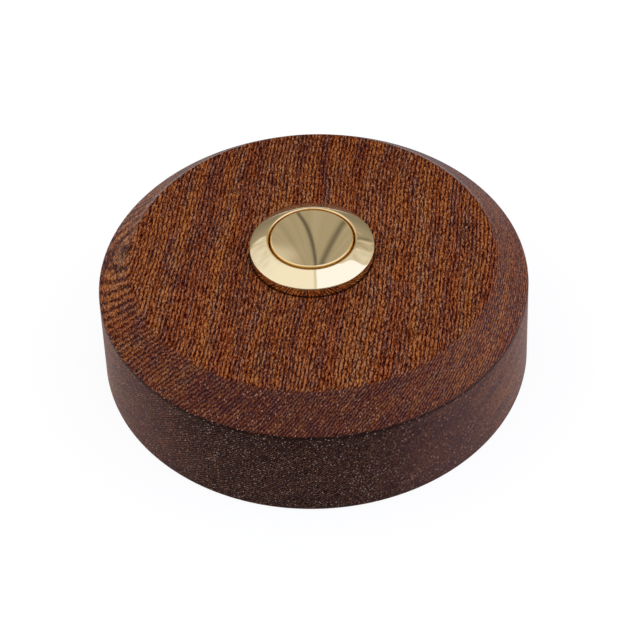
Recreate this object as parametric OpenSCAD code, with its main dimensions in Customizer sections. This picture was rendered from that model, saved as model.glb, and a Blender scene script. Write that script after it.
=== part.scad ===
// Round wooden doorbell push with a turned brass bezel and a dished brass button.
// Millimetres. The origin is the centre of the wood's rear rim, and +Z points out of the front.

/* [Wood base] */
// Diameter of the round wood base
base_d = 78; // [72:0.5:96]
// Height of the wood base from the wall to its front face
base_h = 23.2; // [22.4:0.1:32]
// How much the wood's side leans in on its way up to the sloping edge
base_taper = 0.75; // [0:0.05:1.5]
// Width of the sloping edge round the front face, seen from the front
base_chamfer_w = 5.9; // [1:0.1:8]
// Height of the sloping edge round the front face
base_chamfer_h = 5; // [1:0.1:8]
// Rounding of the turned edges of the wood
base_edge_r = 0.4; // [0.1:0.05:0.8]
// Thickness of the wood that the switch clamps to
front_web = 6; // [3:0.25:8]
// Diameter of the wiring recess in the back
recess_d = 50; // [47:0.5:54]
// Clearance of the barrel in the hole through the wood
hole_gap = 0.15; // [0.05:0.05:0.4]

/* [Bezel and barrel] */
// Diameter over the barrel's thread
barrel_d = 19; // [18.5:0.1:20.5]
// Wall of the barrel beside the switch insert
barrel_wall = 1.1; // [0.95:0.05:1.3]
// Depth of the thread grooves
thread_depth = 0.45; // [0.2:0.05:0.5]
// Distance from one thread groove to the next
thread_pitch = 1; // [0.75:0.05:1.5]
// How far the bezel reaches past the barrel
bezel_reach = 1.5; // [1:0.1:3]
// Height of the bezel's upright edge
bezel_edge_h = 1.6; // [0.8:0.1:2]
// Rounding between the upright edge and the slope
bezel_edge_r = 0.25; // [0.2:0.05:0.8]
// Rise of the bezel's slope up to the lip
slope_rise = 1.7; // [1:0.05:3]
// Width of the lip round the button
lip_w = 0.35; // [0.2:0.05:0.6]
// Rounding of the lip
lip_r = 0.1; // [0.05:0.01:0.14]
// Thickness of the gasket under the bezel
gasket_t = 0.3; // [0.2:0.05:1]
// Thickness of the bezel's skirt round the gasket
skirt_t = 0.35; // [0.3:0.05:0.6]
// Clearance of the gasket inside the skirt
gasket_gap = 0.05; // [0.03:0.01:0.2]
// Clearance of the skirt over the wood
skirt_gap = 0.04; // [0.03:0.01:0.1]
// Step in the barrel that the switch insert seats on
insert_step = 0.3; // [0.2:0.05:0.5]
// Step in the barrel that stops the button's collar
stop_step = 0.5; // [0.2:0.05:0.6]

/* [Button] */
// Travel of the button, which closes the contacts at its end
travel = 1.6; // [1:0.1:2]
// Gap between the button and the lip
button_gap = 0.3; // [0.14:0.02:0.5]
// How far the button's rim stands above the lip
button_proud = 0.1; // [0:0.05:0.4]
// Depth of the dish in the button's face
dish_depth = 0.65; // [0.2:0.05:1]
// Width of the level rim round the dish
dish_land = 0.3; // [0.3:0.05:1]
// Rounding of the button's rim
rim_r = 0.2; // [0.1:0.05:0.28]
// Height of solid brass above the seal
rim_h = 2.1; // [1.6:0.1:3]
// Thickness of the button's face over its hollow, measured from the rim
crown_t = 3.2; // [2.4:0.1:3.6]
// Brass between the seal's groove and the hollow
cap_wall = 0.95; // [0.6:0.05:1.5]
// Thickness of the collar that keeps the button in
collar_t = 1.35; // [0.8:0.05:2]
// Clearance of the collar round its edge
collar_gap = 0.06; // [0.03:0.01:0.15]
// Clearance of the collar under its stop
stop_gap = 0.05; // [0.02:0.01:0.2]
// Room left under the collar at full travel
collar_room = 0.4; // [0.2:0.05:1]
// Diameter of the hub that holds the plunger
hub_d = 6; // [5:0.1:7]
// Diameter of the plunger's spigot
spigot_d = 3.2; // [2:0.1:4]
// Length of the plunger's spigot
spigot_len = 2.6; // [1:0.1:2.8]
// Clearance of the spigot in the hub
spigot_gap = 0.02; // [0.01:0.01:0.05]
// Section of the sealing ring
seal_d = 1.15; // [0.8:0.05:1.3]
// Clearance of the sealing ring in its groove and in the bezel
seal_gap = 0.08; // [0.03:0.01:0.1]
// Length of bore that stays below the sealing ring at full travel
seal_margin = 0.15; // [0.1:0.05:0.5]

/* [Contact and spring] */
// Thickness of the contact disc
disc_t = 0.5; // [0.3:0.05:0.8]
// Gap between the contact disc and the wall of the insert
disc_gap = 0.3; // [0.2:0.05:0.6]
// Diameter of the contact rivet's head
contact_d = 1.9; // [1.7:0.05:2.2]
// Distance from the contact rivet's head to the edge of the disc
contact_edge = 0.2; // [0.1:0.05:0.4]
// Turn of the contact rivets from the X axis
contact_angle = 35; // [30:1:42]
// Clearance between the contact rivets and the clip
clip_gap = 0.2; // [0.1:0.05:0.4]
// Thickness of the clip under the contact disc
clip_t = 0.4; // [0.3:0.05:0.6]
// Width of the clip's band
clip_band = 1; // [0.8:0.05:1.2]
// Clearance of the disc and the clip round the plunger's neck
neck_gap = 0.02; // [0.01:0.01:0.05]
// Length of the plunger's neck below the clip
neck_tail = 0.3; // [0.2:0.05:0.6]
// Clearance of the plunger over the insert's floor at full travel
floor_gap = 0.3; // [0.2:0.05:0.6]
// Wall of the plunger round the spring
plunger_wall = 0.6; // [0.5:0.05:0.8]
// Thickness of the plunger over the spring
plunger_top_t = 1.3; // [1:0.1:2]
// Diameter of the spring's wire
wire_d = 0.5; // [0.35:0.05:0.55]
// Clearance round the spring
spring_gap = 0.3; // [0.2:0.05:0.5]
// Clearance at each end of the spring
spring_end_gap = 0.05; // [0.02:0.01:0.1]
// Turns of the spring
spring_turns = 7; // [5:1:8]

/* [Switch insert] */
// Clearance of the insert in the barrel
insert_gap = 0.05; // [0.03:0.01:0.1]
// Wall of the insert's cup
insert_wall = 1.55; // [1.2:0.05:1.8]
// Depth of the insert's cup
cup_depth = 6.2; // [5.6:0.1:6.8]
// Thickness of the insert below its cup
insert_floor_t = 3.7; // [3.4:0.1:4.2]
// Depth of the spring's pocket in the insert's floor
pocket_depth = 1.8; // [1:0.1:2.2]
// Distance from the cup's floor to the snap ring
ring_drop = 1.4; // [1:0.1:1.6]
// Thickness of the snap ring
ring_t = 0.8; // [0.6:0.05:1]
// Width of the snap ring's band
ring_band = 1.1; // [0.8:0.05:1.3]
// Depth of the snap ring's groove in the barrel
ring_groove = 0.3; // [0.2:0.05:0.35]
// Clearance of the snap ring in its groove and round the insert
ring_gap = 0.05; // [0.02:0.01:0.1]
// Angle of the snap ring's opening
ring_open = 40; // [20:5:80]
// Barrel left below the snap ring
barrel_tail = 0.8; // [0.6:0.05:1.2]
// Clearance of the insert's boss inside the snap ring
boss_gap = 0.2; // [0.1:0.05:0.4]

/* [Terminals] */
// Thickness of the terminal strips
terminal_t = 0.6; // [0.4:0.05:0.8]
// Width of the terminal strips
terminal_w = 4.6; // [4:0.1:5]
// Diameter of the contact rivet's shank
rivet_d = 1.5; // [1:0.05:1.6]
// Diameter of the rivet's closed end
rivet_tail_d = 2.3; // [1.9:0.1:2.6]
// Height of the rivet's closed end
rivet_tail_h = 0.45; // [0.3:0.05:0.6]
// Clearance round rivets and screws
fastener_gap = 0.05; // [0.03:0.01:0.1]
// Diameter of the terminal screws
terminal_screw_d = 2.9; // [2.4:0.1:3]
// Length of thread in the insert
terminal_screw_grip = 2; // [1.4:0.1:2.2]
// Diameter of the terminal screws' heads
terminal_head_d = 4.8; // [4:0.1:5.2]
// Height of the terminal screws' heads
terminal_head_h = 1.4; // [1:0.1:1.8]
// Side of the square wire clamps
clamp_w = 5.2; // [4.8:0.1:5.6]
// Thickness of the wire clamps
clamp_t = 0.6; // [0.5:0.05:1]

/* [Panel nut] */
// Wall of the nut across its flats
nut_wall = 1.5; // [1.2:0.1:3]
// Thickness of the nut
nut_t = 3.5; // [2:0.1:4]
// Clearance of the nut and washer on the barrel
nut_gap = 0.05; // [0.03:0.01:0.2]
// Thickness of the washer
washer_t = 1; // [0.6:0.1:1.6]
// How far the washer reaches past the nut's corners
washer_reach = 0.3; // [0:0.1:2]

/* [Rear cover] */
// Thickness of the rear cover
cover_t = 1.8; // [1.4:0.1:2.4]
// How far the cover lies in front of the wall
cover_setback = 1.2; // [0.8:0.1:1.6]
// Width of the wood ledge under the cover
cover_ledge = 6; // [5.8:0.1:8]
// Gap round the edge of the cover
cover_gap = 0.3; // [0.1:0.05:0.8]
// Height of the cover's locating rim
cover_rim_h = 2; // [1:0.1:4]
// Wall of the cover's locating rim
cover_rim_t = 1.5; // [1:0.1:2]
// Gap round the locating rim
cover_rim_gap = 0.2; // [0.1:0.05:0.5]
// Distance between the two keyholes
keyhole_spacing = 37; // [32:0.5:38]
// Diameter of the round part of a keyhole
keyhole_d = 8; // [7:0.1:8.4]
// Width of a keyhole's slot
keyhole_slot_w = 4.6; // [4.2:0.1:5]
// Distance from a keyhole's round part to the end of its slot
keyhole_run = 8; // [6:0.5:9]
// How far the round part lies below the centre
keyhole_drop = 1.5; // [0:0.25:4]
// Number of cover screws
cover_screw_count = 3; // [3:1:4]
// Diameter of the cover screws' shanks
cover_screw_d = 2.8; // [2.4:0.1:3]
// Diameter of the cover screws' heads
cover_head_d = 5; // [4.4:0.1:5.4]
// Length of the cover screws
cover_screw_len = 10; // [8:0.5:14]
// Length of the cover screws' points
cover_screw_point = 2.4; // [1:0.1:4]

/* [Cable grommet] */
// Distance from the centre to the cable grommet
grommet_offset = 17; // [16:0.25:17.5]
// Bore of the grommet
grommet_bore_d = 4; // [3:0.1:5]
// Wall of the grommet in the cover
grommet_wall = 1.4; // [1:0.1:1.6]
// Width of the grommet's flanges
grommet_flange_w = 1.4; // [1:0.1:1.6]
// Thickness of the grommet's inner flange
grommet_flange_t = 1; // [0.6:0.1:2]
// How far the grommet stays clear of the wall
grommet_wall_gap = 0.2; // [0.1:0.05:0.4]
// Clearance of the grommet in the cover
grommet_gap = 0.03; // [0.02:0.01:0.1]

/* [Hidden] */
$fn = 96;

// How far a cut runs past the faces that it opens
past = 1;
// Steps in a rounded corner of an outline
corner_steps = 4;

// Colours of the finishes
brass_colour = [0.80, 0.66, 0.36];
wood_colour = [0.45, 0.23, 0.10];
rubber_colour = [0.10, 0.10, 0.10];
plastic_colour = [0.14, 0.14, 0.15];
insert_colour = [0.36, 0.20, 0.12];
plunger_colour = [0.88, 0.87, 0.82];
steel_colour = [0.70, 0.71, 0.73];

// Wood base and cover
base_r = base_d / 2;
recess_r = recess_d / 2;
rabbet_r = recess_r + cover_ledge;
cover_z = cover_setback;
cover_in_z = cover_z + cover_t;
web_z = base_h - front_web;
cover_screw_r = recess_r + cover_ledge / 2;
pilot_z = cover_z + cover_screw_len + fastener_gap;

// Bezel and barrel, from the outside in
barrel_r = barrel_d / 2;
bezel_r = barrel_r + bezel_reach;
insert_bore_r = barrel_r - barrel_wall;
chamber_r = insert_bore_r - insert_step;
throat_r = chamber_r - stop_step;
bezel_z = base_h + gasket_t;
skirt_r = bezel_r - skirt_t;
skirt_z = base_h + skirt_gap;
bezel_edge_z = bezel_z + bezel_edge_h;
lip_z = bezel_edge_z + slope_rise;

// Button and seal
cap_r = throat_r - button_gap;
cap_z = lip_z + button_proud;
collar_r = chamber_r - collar_gap;
seal_ring_r = throat_r - seal_gap - seal_d / 2;
groove_r = seal_ring_r - seal_d / 2 - seal_gap;
groove_h = seal_d + 2 * seal_gap;
groove_z = lip_z - rim_h - groove_h;
stop_z = groove_z - travel - seal_margin;
collar_z = stop_z - stop_gap - collar_t;
hollow_r = groove_r - cap_wall;
hollow_z = lip_z - crown_t;
dish_r = cap_r - dish_land;
dish_sphere_r = (dish_r * dish_r + dish_depth * dish_depth) / (2 * dish_depth);

// Switch insert, contacts and plunger, from the stop downwards and from the barrel inwards
seat_z = collar_z - travel - collar_room;
floor_z = seat_z - cup_depth;
ring_z = floor_z - ring_drop;
boss_z = floor_z - insert_floor_t;
barrel_z = ring_z - ring_t - 2 * ring_gap - barrel_tail;
insert_r = insert_bore_r - insert_gap;
cup_r = insert_r - insert_wall;
ring_groove_r = insert_bore_r + ring_groove;
ring_out_r = ring_groove_r - ring_gap;
ring_in_r = ring_out_r - ring_band;
boss_r = ring_in_r - boss_gap;
disc_r = cup_r - disc_gap;
contact_r = disc_r - contact_edge - contact_d / 2;
clip_r = contact_r - contact_d / 2 - clip_gap;
neck_r = clip_r - clip_band;
spring_room_r = neck_r - plunger_wall;
contact_z = floor_z + floor_gap + neck_tail + clip_t;
disc_z = contact_z + travel;
neck_z = disc_z - clip_t - neck_tail;
plunger_room_z = collar_z - plunger_top_t;
pocket_z = floor_z - pocket_depth;
contact_x = contact_r * cos(contact_angle);
contact_y = contact_r * sin(contact_angle);

// Terminals under the insert
terminal_z = boss_z - terminal_t;
clamp_z = terminal_z - clamp_t;
terminal_head_z = clamp_z - terminal_head_h;
terminal_pocket_h = terminal_screw_grip + 2 * fastener_gap;

// Nut and washer behind the wood
nut_bore_r = barrel_r + nut_gap;
nut_corner_r = (barrel_r + nut_wall) / cos(30);
washer_r = nut_corner_r + washer_reach;
washer_z = web_z - washer_t;

// Grommet in the cover
grommet_bore_r = grommet_bore_d / 2;
grommet_r = grommet_bore_r + grommet_wall;
grommet_flange_r = grommet_r + grommet_flange_w;

// Screw drives and small reliefs
drive_w = 0.7;
drive_depth = 0.6;
drive_reach = 1.5;
head_dome = 0.4;
contact_dome = 0.3;
thread_runout = 0.8;
thread_lead = 0.4;
clip_open = 70;

// Helix of the return spring
spring_r = spring_room_r - spring_gap - wire_d / 2;
spring_z0 = pocket_z + spring_end_gap + wire_d / 2;
spring_z1 = plunger_room_z - spring_end_gap - wire_d / 2;
spring_sides = 6;
spring_rings_per_turn = 12;
spring_rings = spring_turns * spring_rings_per_turn;

// A unit vector along v
function along(v) = v / norm(v);

// Points of a corner b between a and c, rounded with the radius that is b's third number
function corner(a, b, c) =
    b[2] == 0 ? [[b[0], b[1]]] :
    let (
        at = [b[0], b[1]],
        u = along([a[0], a[1]] - at),
        v = along([c[0], c[1]] - at),
        half = acos(u * v) / 2,
        middle = at + along(u + v) * b[2] / sin(half),
        s = at + u * b[2] / tan(half) - middle,
        e = at + v * b[2] / tan(half) - middle,
        sweep = 180 - 2 * half
    )
    [for (i = [0 : corner_steps])
        let (f = i / corner_steps)
        middle + (s * sin((1 - f) * sweep) + e * sin(f * sweep)) / sin(sweep)];

// An outline from corners of the form [radius from the axis, height, rounding]
function outline(c) =
    let (n = len(c))
    [for (i = [0 : n - 1]) each corner(c[(i + n - 1) % n], c[i], c[(i + 1) % n])];

// Solid of revolution about the Z axis
module turned(corners) {
    rotate_extrude() polygon(outline(corners));
}

// Plain ring between two radii and two heights
module ring(r_in, r_out, z0, z1) {
    turned([[r_in, z0, 0], [r_out, z0, 0], [r_out, z1, 0], [r_in, z1, 0]]);
}

// Ring with an opening of the given angle, centred on +X
module open_ring(r_in, r_out, z0, z1, opening) {
    rotate(opening / 2) rotate_extrude(angle = 360 - opening)
        translate([r_in, z0]) square([r_out - r_in, z1 - z0]);
}

// Round hole or rod from z0 to z1
module rod(r, z0, z1) {
    translate([0, 0, z0]) cylinder(r = r, h = z1 - z0);
}

// Copies at the places of the cover screws
module at_cover_screws() {
    for (i = [0 : cover_screw_count - 1])
        rotate(-90 + i * 360 / cover_screw_count) translate([cover_screw_r, 0, 0]) children();
}

// Copies at the two contact rivets
module at_rivets() {
    for (turn = [0, 180])
        rotate(turn) translate([-contact_x, -contact_y, 0]) children();
}

// Copies at the two terminal screws
module at_terminal_screws() {
    for (turn = [0, 180])
        rotate(turn) translate([-contact_x, contact_y, 0]) children();
}

// Cross recess in the underside of a screw head at height z
module cross_drive(z, reach) {
    for (turn = [0, 90])
        rotate(turn) translate([-reach, -drive_w / 2, z - past])
            cube([2 * reach, drive_w, past + drive_depth]);
}

module wood_base() {
    color(wood_colour) difference() {
        turned([
            [barrel_r + hole_gap, web_z, 0],
            [recess_r, web_z, 0],
            [recess_r, cover_in_z, 0],
            [rabbet_r, cover_in_z, 0],
            [rabbet_r, 0, 0],
            [base_r, 0, base_edge_r],
            [base_r - base_taper, base_h - base_chamfer_h, base_edge_r],
            [base_r - base_taper - base_chamfer_w, base_h, base_edge_r],
            [barrel_r + hole_gap, base_h, 0]
        ]);
        at_cover_screws() rod(cover_screw_d / 2 + fastener_gap, cover_in_z - past, pilot_z);
    }
}

// Outside of the threaded barrel, from its end up to the flange
function thread_outline() =
    let (
        low = barrel_z + thread_lead,
        grooves = floor((bezel_z - thread_runout - low) / thread_pitch)
    )
    [for (i = [0 : grooves - 1]) each [
        [barrel_r, low + i * thread_pitch, 0],
        [barrel_r - thread_depth, low + (i + 0.5) * thread_pitch, 0]
    ]];

module bezel_body() {
    ring_low_z = ring_z - ring_t - 2 * ring_gap;
    color(brass_colour) turned(concat(
        [
            [throat_r, stop_z, 0],
            [chamber_r, stop_z, 0],
            [chamber_r, seat_z, 0],
            [insert_bore_r, seat_z, 0],
            [insert_bore_r, ring_z, 0],
            [ring_groove_r, ring_z, 0],
            [ring_groove_r, ring_low_z, 0],
            [insert_bore_r, ring_low_z, 0],
            [insert_bore_r, barrel_z, 0],
            [barrel_r - thread_depth, barrel_z, 0]
        ],
        thread_outline(),
        [
            [barrel_r, bezel_z - thread_runout, 0],
            [barrel_r, bezel_z, 0],
            [skirt_r, bezel_z, 0],
            [skirt_r, skirt_z, 0],
            [bezel_r, skirt_z, 0],
            [bezel_r, bezel_edge_z, bezel_edge_r],
            [throat_r + lip_w, lip_z, lip_r],
            [throat_r, lip_z, lip_r]
        ]
    ));
}

module bezel_gasket() {
    color(rubber_colour) ring(barrel_r + nut_gap, skirt_r - gasket_gap, base_h, bezel_z);
}

module button_cap() {
    color(brass_colour) difference() {
        turned([
            [0, collar_z, 0],
            [collar_r, collar_z, 0],
            [collar_r, collar_z + collar_t, 0],
            [cap_r, collar_z + collar_t, 0],
            [cap_r, groove_z, 0],
            [groove_r, groove_z, 0],
            [groove_r, groove_z + groove_h, 0],
            [cap_r, groove_z + groove_h, 0],
            [cap_r, cap_z, rim_r],
            [0, cap_z, 0]
        ]);
        ring(hub_d / 2, hollow_r, collar_z - past, hollow_z);
        rod(spigot_d / 2, collar_z - past, collar_z + spigot_len + spigot_gap);
        translate([0, 0, cap_z + dish_sphere_r - dish_depth]) sphere(r = dish_sphere_r, $fn = 360);
    }
}

module button_seal() {
    color(rubber_colour)
        translate([0, 0, groove_z + groove_h / 2])
            rotate_extrude() translate([seal_ring_r, 0]) circle(d = seal_d);
}

module plunger() {
    color(plunger_colour) difference() {
        turned([
            [0, neck_z, 0],
            [neck_r, neck_z, 0],
            [neck_r, disc_z + disc_t, 0],
            [clip_r, disc_z + disc_t, 0],
            [clip_r, collar_z, 0],
            [spigot_d / 2 - spigot_gap, collar_z, 0],
            [spigot_d / 2 - spigot_gap, collar_z + spigot_len, 0],
            [0, collar_z + spigot_len, 0]
        ]);
        rod(spring_room_r, neck_z - past, plunger_room_z);
    }
}

module contact_disc() {
    color(brass_colour) ring(neck_r + neck_gap, disc_r, disc_z, disc_z + disc_t);
}

module disc_clip() {
    color(steel_colour) open_ring(neck_r + neck_gap, clip_r, disc_z - clip_t, disc_z, clip_open);
}

// Centre of the spring's wire after i rings
function spring_point(i) =
    let (f = i / spring_rings, a = 360 * spring_turns * f)
    [spring_r * cos(a), spring_r * sin(a), spring_z0 + (spring_z1 - spring_z0) * f];

// Ring i of points round the spring's wire
function spring_ring(i) =
    let (
        a = 360 * spring_turns * i / spring_rings,
        climb = atan2(spring_z1 - spring_z0, 2 * PI * spring_r * spring_turns),
        out = [cos(a), sin(a), 0],
        up = [sin(climb) * sin(a), -sin(climb) * cos(a), cos(climb)]
    )
    [for (k = [0 : spring_sides - 1])
        let (t = 360 * k / spring_sides)
        spring_point(i) + (out * cos(t) + up * sin(t)) * wire_d / 2];

// Least gap from one turn of the spring to another
function spring_self_gap() =
    min([for (i = [0 : spring_rings])
        for (k = [i + spring_rings_per_turn / 2 : 1 : spring_rings])
            norm(spring_point(i) - spring_point(k))]) - wire_d;

module return_spring() {
    n = spring_sides;
    last = spring_rings * n;
    echo(spring_self_gap = spring_self_gap());
    color(steel_colour) polyhedron(
        points = [for (i = [0 : spring_rings]) each spring_ring(i)],
        faces = concat(
            [for (i = [0 : spring_rings - 1]) for (k = [0 : n - 1]) each [
                [i * n + k, i * n + (k + 1) % n, (i + 1) * n + (k + 1) % n],
                [i * n + k, (i + 1) * n + (k + 1) % n, (i + 1) * n + k]
            ]],
            [for (k = [1 : n - 2]) [0, k + 1, k]],
            [for (k = [1 : n - 2]) [last, last + k, last + k + 1]]
        )
    );
}

module switch_insert() {
    color(insert_colour) difference() {
        turned([
            [0, boss_z, 0],
            [boss_r, boss_z, 0],
            [boss_r, ring_z, 0],
            [insert_r, ring_z, 0],
            [insert_r, seat_z, 0],
            [cup_r, seat_z, 0],
            [cup_r, floor_z, 0],
            [0, floor_z, 0]
        ]);
        rod(spring_room_r, pocket_z, floor_z + past);
        at_rivets() rod(rivet_d / 2 + fastener_gap, boss_z - past, floor_z + past);
        at_terminal_screws()
            rod(terminal_screw_d / 2 + fastener_gap, boss_z - past, boss_z + terminal_pocket_h);
    }
}

module insert_ring() {
    top_z = ring_z - ring_gap;
    color(steel_colour) open_ring(ring_in_r, ring_out_r, top_z - ring_t, top_z, ring_open);
}

// One contact rivet, whose head is the fixed contact
module contact_rivet(turn) {
    color(brass_colour) rotate(turn) translate([-contact_x, -contact_y, 0]) turned([
        [0, terminal_z - rivet_tail_h, 0],
        [rivet_tail_d / 2, terminal_z - rivet_tail_h, 0],
        [rivet_tail_d / 2, terminal_z, 0],
        [rivet_d / 2, terminal_z, 0],
        [rivet_d / 2, floor_z, 0],
        [contact_d / 2, floor_z, 0],
        [contact_d / 2, contact_z, contact_dome],
        [0, contact_z, 0]
    ]);
}

module left_contact_rivet() {
    contact_rivet(0);
}

module right_contact_rivet() {
    contact_rivet(180);
}

// One terminal strip from its rivet to its screw
module terminal(turn) {
    color(brass_colour) rotate(turn) translate([-contact_x, 0, terminal_z])
        linear_extrude(terminal_t) difference() {
            union() {
                for (side = [-1, 1])
                    translate([0, side * contact_y]) circle(d = terminal_w);
                translate([-terminal_w / 2, -contact_y]) square([terminal_w, 2 * contact_y]);
            }
            translate([0, -contact_y]) circle(d = rivet_d + 2 * fastener_gap);
            translate([0, contact_y]) circle(d = terminal_screw_d + 2 * fastener_gap);
        }
}

module left_terminal() {
    terminal(0);
}

module right_terminal() {
    terminal(180);
}

module terminal_screws() {
    tip_z = boss_z + terminal_screw_grip;
    color(steel_colour) at_terminal_screws() difference() {
        turned([
            [0, terminal_head_z, 0],
            [terminal_head_d / 2, terminal_head_z, head_dome],
            [terminal_head_d / 2, clamp_z, 0],
            [terminal_screw_d / 2, clamp_z, 0],
            [terminal_screw_d / 2, tip_z, 0],
            [0, tip_z, 0]
        ]);
        cross_drive(terminal_head_z, drive_reach);
    }
}

module wire_clamps() {
    color(steel_colour) at_terminal_screws() difference() {
        translate([-clamp_w / 2, -clamp_w / 2, clamp_z]) cube([clamp_w, clamp_w, clamp_t]);
        rod(terminal_screw_d / 2 + fastener_gap, clamp_z - past, terminal_z + past);
    }
}

module nut_washer() {
    color(steel_colour) ring(nut_bore_r, washer_r, washer_z, web_z);
}

module panel_nut() {
    color(brass_colour) difference() {
        translate([0, 0, washer_z - nut_t]) cylinder(r = nut_corner_r, h = nut_t, $fn = 6);
        rod(nut_bore_r, washer_z - nut_t - past, washer_z + past);
    }
}

// Keyhole cut, with its round part at the origin and its slot towards +Y
module keyhole_cut() {
    low = cover_z - past;
    high = cover_in_z + cover_rim_h + past;
    rod(keyhole_d / 2, low, high);
    translate([0, keyhole_run, 0]) rod(keyhole_slot_w / 2, low, high);
    translate([-keyhole_slot_w / 2, 0, low]) cube([keyhole_slot_w, keyhole_run, high - low]);
}

// Hole through the cover for one countersunk screw
module cover_screw_hole() {
    head_r = cover_head_d / 2 + fastener_gap;
    shank_r = cover_screw_d / 2 + fastener_gap;
    rod(shank_r, cover_z - past, cover_in_z + past);
    translate([0, 0, cover_z]) cylinder(r1 = head_r, r2 = shank_r, h = head_r - shank_r);
}

module rear_cover() {
    rim_r_out = recess_r - cover_rim_gap;
    rim_z = cover_in_z + cover_rim_h;
    color(plastic_colour) difference() {
        turned([
            [0, cover_z, 0],
            [rabbet_r - cover_gap, cover_z, 0],
            [rabbet_r - cover_gap, cover_in_z, 0],
            [rim_r_out, cover_in_z, 0],
            [rim_r_out, rim_z, 0],
            [rim_r_out - cover_rim_t, rim_z, 0],
            [rim_r_out - cover_rim_t, cover_in_z, 0],
            [0, cover_in_z, 0]
        ]);
        for (side = [-1, 1])
            translate([side * keyhole_spacing / 2, -keyhole_drop, 0]) keyhole_cut();
        translate([0, grommet_offset, 0]) rod(grommet_r + grommet_gap, cover_z - past, cover_in_z + past);
        at_cover_screws() cover_screw_hole();
    }
}

module cover_screws() {
    head_r = cover_head_d / 2;
    shank_r = cover_screw_d / 2;
    color(steel_colour) at_cover_screws() difference() {
        turned([
            [0, cover_z, 0],
            [head_r, cover_z, 0],
            [shank_r, cover_z + head_r - shank_r, 0],
            [shank_r, cover_z + cover_screw_len - cover_screw_point, 0],
            [0, cover_z + cover_screw_len, 0]
        ]);
        cross_drive(cover_z, drive_reach);
    }
}

module cable_grommet() {
    color(rubber_colour) translate([0, grommet_offset, 0]) turned([
        [grommet_bore_r, grommet_wall_gap, 0],
        [grommet_flange_r, grommet_wall_gap, 0],
        [grommet_flange_r, cover_z, 0],
        [grommet_r, cover_z, 0],
        [grommet_r, cover_in_z, 0],
        [grommet_flange_r, cover_in_z, 0],
        [grommet_flange_r, cover_in_z + grommet_flange_t, 0],
        [grommet_bore_r, cover_in_z + grommet_flange_t, 0]
    ]);
}

wood_base();
bezel_body();
bezel_gasket();
button_cap();
button_seal();
plunger();
contact_disc();
disc_clip();
return_spring();
switch_insert();
insert_ring();
left_contact_rivet();
right_contact_rivet();
left_terminal();
right_terminal();
terminal_screws();
wire_clamps();
nut_washer();
panel_nut();
rear_cover();
cover_screws();
cable_grommet();
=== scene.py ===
# Round wooden doorbell push with a polished brass button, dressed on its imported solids
import math

import bmesh
import bpy
from mathutils import Matrix, Vector


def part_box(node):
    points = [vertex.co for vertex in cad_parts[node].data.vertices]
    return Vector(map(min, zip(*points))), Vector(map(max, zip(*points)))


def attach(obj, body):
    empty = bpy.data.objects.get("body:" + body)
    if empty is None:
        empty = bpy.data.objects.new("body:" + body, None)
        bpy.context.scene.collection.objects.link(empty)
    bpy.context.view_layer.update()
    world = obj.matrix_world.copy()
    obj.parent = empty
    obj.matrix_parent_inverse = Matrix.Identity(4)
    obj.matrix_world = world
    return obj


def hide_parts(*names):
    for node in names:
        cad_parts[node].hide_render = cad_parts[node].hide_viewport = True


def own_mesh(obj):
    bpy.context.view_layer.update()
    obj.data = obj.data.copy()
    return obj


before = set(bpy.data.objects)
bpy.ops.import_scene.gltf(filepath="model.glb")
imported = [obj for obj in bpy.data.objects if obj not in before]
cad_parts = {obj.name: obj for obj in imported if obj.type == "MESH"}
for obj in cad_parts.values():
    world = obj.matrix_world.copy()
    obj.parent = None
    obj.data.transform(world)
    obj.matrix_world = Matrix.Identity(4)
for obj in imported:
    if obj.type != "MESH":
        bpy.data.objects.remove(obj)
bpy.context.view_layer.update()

MM = 0.001

# View of the photograph, for a square image, with its angles in degrees
IMAGE_PX = 631
FOCAL_PX = 1717
SENSOR_MM = 36
VIEW_DISTANCE = 319.5 * MM
VIEW_ELEVATION = 46.96
VIEW_ROLL = 2.40
AIM_TURN = 0.02
AIM_TILT = -0.903
NEAREST_SEEN = 10 * MM

# Steps of turned shapes, how near two points count as one, and the angles that count as smooth and flat
TURN_STEPS = 256
EASE_STEPS = 5
SAME_PLACE = 1e-7
SMOOTH_BELOW = math.radians(38)
FLAT_BELOW = math.radians(0.5)


def top_of(node):
    """Height of a solid's top, in millimetres."""
    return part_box(node)[1][2] / MM


def foot_of(node):
    """Height of a solid's foot, in millimetres."""
    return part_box(node)[0][2] / MM


def reach_of(node):
    """How far a solid reaches along X, in millimetres."""
    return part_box(node)[1][0] / MM


# Sizes of the wood base in millimetres
BASE_R = reach_of("wood_base")
BASE_H = top_of("wood_base")
TAPER = 0.75
CHAMFER_W = 5.9
CHAMFER_H = 5
CHAMFER_Z = BASE_H - CHAMFER_H
SIDE_TOP_R = BASE_R - TAPER
FACE_R = SIDE_TOP_R - CHAMFER_W
RABBET_R = 31
RECESS_R = 25
WEB_Z = 17.2
COVER_Z = 1.2
COVER_IN_Z = 3.0
HOLE_R = 9.65
FOOT_EASE = 0.4
EDGE_EASE = 0.3
RECESS_EASE = 0.2
HOLE_EASE = 0.15

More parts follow.
